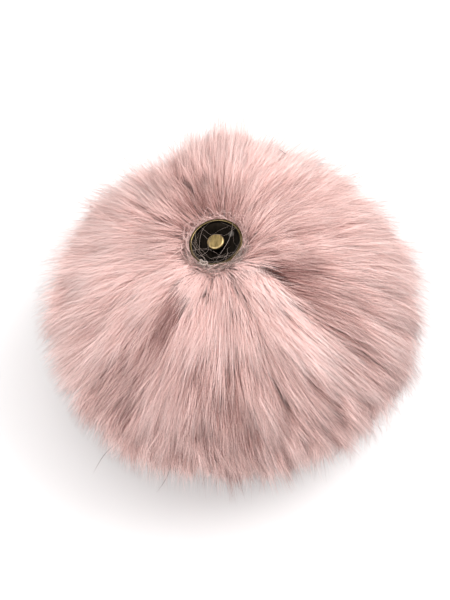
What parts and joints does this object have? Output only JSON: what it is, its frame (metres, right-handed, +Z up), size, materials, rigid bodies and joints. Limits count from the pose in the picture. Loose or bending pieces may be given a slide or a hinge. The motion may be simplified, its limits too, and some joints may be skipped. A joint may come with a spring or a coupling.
{
  "type": "fur pompom with press stud",
  "caption": "Round fluffy pompom of long-pile imitation fur, gathered round a metal press stud that snaps it onto a hat, bag or key strap.",
  "frame": {"origin": "middle of the small flat spot that the ball rests on", "axes": "+Z up from the surface to the press stud's side, +X towards the side that stands higher, away from which the press stud leans, +Y away from the side shown in front"},
  "size_m": [0.1086, 0.1059, 0.0751],
  "materials": {
    "pink_fur": "long soft pile, dusty pink with paler tips",
    "antique_brass": "darkened antique brass, worn bright on its edges"
  },
  "bodies": {
    "root": {"fur_ball": "pink_fur", "snap_cup": "antique_brass", "snap_stud": "antique_brass"}
  },
  "joints": []
}
